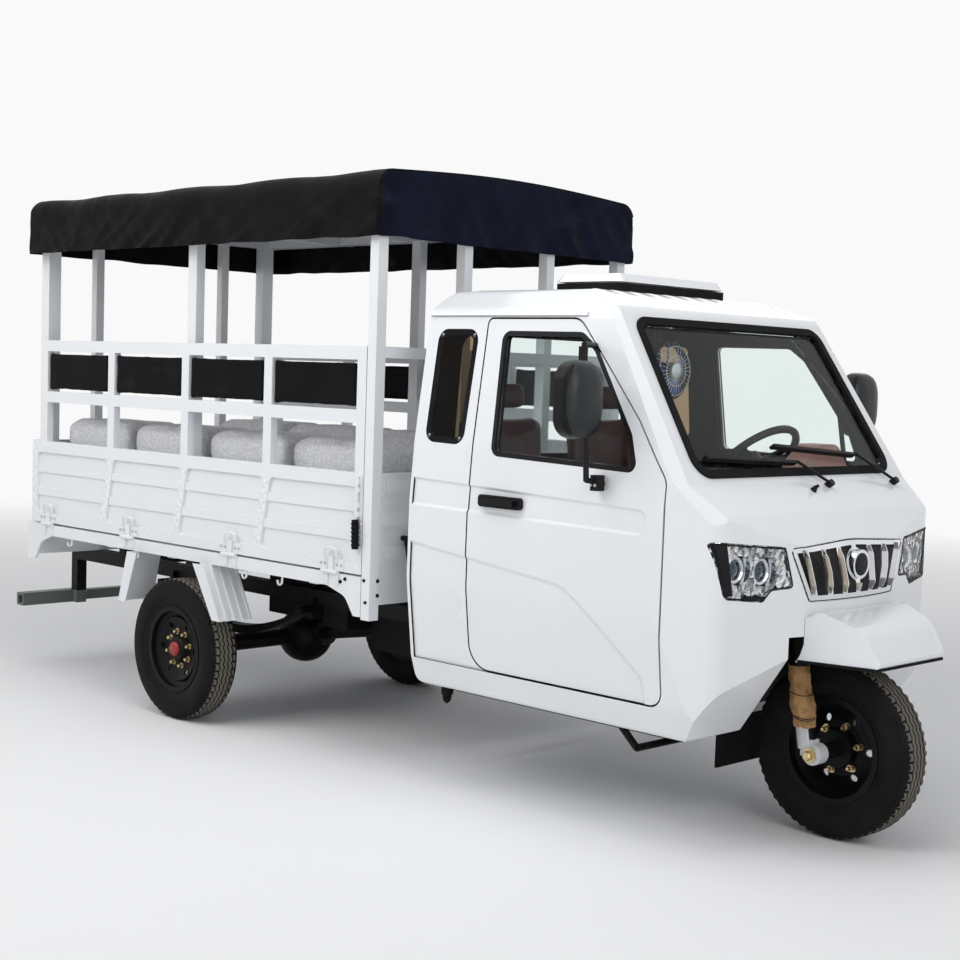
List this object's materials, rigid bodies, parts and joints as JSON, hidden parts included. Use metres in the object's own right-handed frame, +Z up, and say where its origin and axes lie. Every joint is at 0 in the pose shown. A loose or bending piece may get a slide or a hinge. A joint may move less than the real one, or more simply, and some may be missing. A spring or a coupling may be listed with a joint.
{
  "type": "cargo motor tricycle",
  "caption": "Three-wheeled motor vehicle with a closed cab, a steered front wheel and a caged load bed with folding sides, bench seats and a canvas roof.",
  "frame": {"origin": "on the ground, below the middle of the overall length and width", "axes": "+X forward, +Y to the driver's left, +Z up"},
  "size_m": [4.35, 1.73, 2.1618],
  "materials": {
    "white_paint": "gloss white paint",
    "black_steel": "satin black paint",
    "grey_steel": "grey green primer paint",
    "glass_clear": "clear",
    "glass_tint": "brown tint with black border",
    "rubber_black": "matt",
    "tyre_rubber": "matt",
    "chrome": "bright",
    "lamp_lens": "clear polycarbonate",
    "lamp_red": "red lens",
    "black_plastic": "grained",
    "canopy_vinyl": "black coated canvas, navy at the front",
    "pad_vinyl": "black coated cloth",
    "cushion_cloth": "grey patterned cloth",
    "seat_leather": "dark red and black leathercloth",
    "aluminium_cast": "cast",
    "dash_plastic": "brown grained plastic"
  },
  "bodies": {
    "chassis": {"cab_roof": "white_paint", "cab_floor": "white_paint", "cab_rear_wall": "white_paint", "cab_quarters": "white_paint", "cab_front": "white_paint", "windscreen_seal": "rubber_black", "windscreen": "glass_clear", "cab_windows": "glass_tint", "headlamp_lenses": "lamp_lens", "headlamp_housings": "chrome", "grille": "chrome", "grille_backing": "black_plastic", "bed_floor": "white_paint", "bed_headboard": "white_paint", "cage_frame": "white_paint", "canopy_cover": "canopy_vinyl", "bench_tops": "white_paint", "bench_legs": "white_paint", "bench_cushions": "cushion_cloth", "tail_lamps": "lamp_red", "chassis_frame": "black_steel", "rear_bar": "grey_steel", "rear_axle": "black_steel", "leaf_springs": "black_steel", "engine": "aluminium_cast", "wheel_flaps": "white_paint", "steering_head": "black_steel", "front_fender": "white_paint", "front_flap": "rubber_black", "dashboard": "dash_plastic", "seat_base": "black_plastic", "cab_seats": "seat_leather", "steering_column": "black_plastic", "wipers": "black_plastic", "roof_hatch_seal": "rubber_black", "cab_fan": "black_plastic", "wheel_housing": "black_steel"},
    "front_fork": {"front_fork": "black_steel"},
    "front_wheel": {"front_tyre": "tyre_rubber", "front_rim": "black_steel"},
    "steering_wheel": {"steering_wheel": "black_plastic"},
    "tailgate": {"tailgate": "white_paint"},
    "roof_hatch": {"roof_hatch": "white_paint"},
    "rear_wheel_right": {"rear_tyre_right": "tyre_rubber", "rear_rim_right": "black_steel"},
    "door_right": {"door_right": "white_paint", "door_glass_right": "glass_clear", "door_fittings_right": "black_plastic"},
    "gate_right": {"gate_right": "white_paint", "gate_lattice_right": "white_paint", "gate_pads_right": "pad_vinyl"},
    "rear_wheel_left": {"rear_tyre_left": "tyre_rubber", "rear_rim_left": "black_steel"},
    "door_left": {"door_left": "white_paint", "door_glass_left": "glass_clear", "door_fittings_left": "black_plastic"},
    "gate_left": {"gate_left": "white_paint", "gate_lattice_left": "white_paint", "gate_pads_left": "pad_vinyl"}
  },
  "joints": [
    {"name": "rear_wheel_right_spin", "type": "hinge", "parent": "chassis", "child": "rear_wheel_right", "pos_m": [-0.8, -0.631, 0.285], "axis": [0, 1, 0], "continuous": true},
    {"name": "rear_wheel_left_spin", "type": "hinge", "parent": "chassis", "child": "rear_wheel_left", "pos_m": [-0.8, 0.631, 0.285], "axis": [0, 1, 0], "continuous": true},
    {"name": "fork_steer", "type": "hinge", "parent": "chassis", "child": "front_fork", "pos_m": [1.862, 0, 0.285], "axis": [-0.1822, 0, 0.9833], "range_deg": [-35, 35]},
    {"name": "front_wheel_spin", "type": "hinge", "parent": "front_fork", "child": "front_wheel", "pos_m": [1.89, 0, 0.285], "axis": [0, 1, 0], "continuous": true},
    {"name": "steering_wheel_turn", "type": "hinge", "parent": "chassis", "child": "steering_wheel", "pos_m": [1.323, 0.25, 1.153], "axis": [-0.7071, 0, 0.7071], "range_deg": [-360, 360]},
    {"name": "door_right_swing", "type": "hinge", "parent": "chassis", "child": "door_right", "pos_m": [1.647, -0.652, 0.9], "axis": [0, 0, 1], "range_deg": [0, 65]},
    {"name": "door_left_swing", "type": "hinge", "parent": "chassis", "child": "door_left", "pos_m": [1.647, 0.652, 0.9], "axis": [0, 0, -1], "range_deg": [0, 65]},
    {"name": "gate_right_fold", "type": "hinge", "parent": "chassis", "child": "gate_right", "pos_m": [-0.8, -0.671, 0.704], "axis": [1, 0, 0], "range_deg": [0, 135]},
    {"name": "gate_left_fold", "type": "hinge", "parent": "chassis", "child": "gate_left", "pos_m": [-0.8, 0.671, 0.704], "axis": [-1, 0, 0], "range_deg": [0, 135]},
    {"name": "tailgate_fold", "type": "hinge", "parent": "chassis", "child": "tailgate", "pos_m": [-2.003, 0, 0.704], "axis": [0, -1, 0], "range_deg": [0, 100]},
    {"name": "roof_hatch_lift", "type": "hinge", "parent": "chassis", "child": "roof_hatch", "pos_m": [0.839, 0, 1.757], "axis": [0, -1, 0], "range_deg": [0, 25]}
  ],
  "couplings": [
    {"joint": "steering_wheel_turn", "follows": "fork_steer", "ratio": 10}
  ]
}
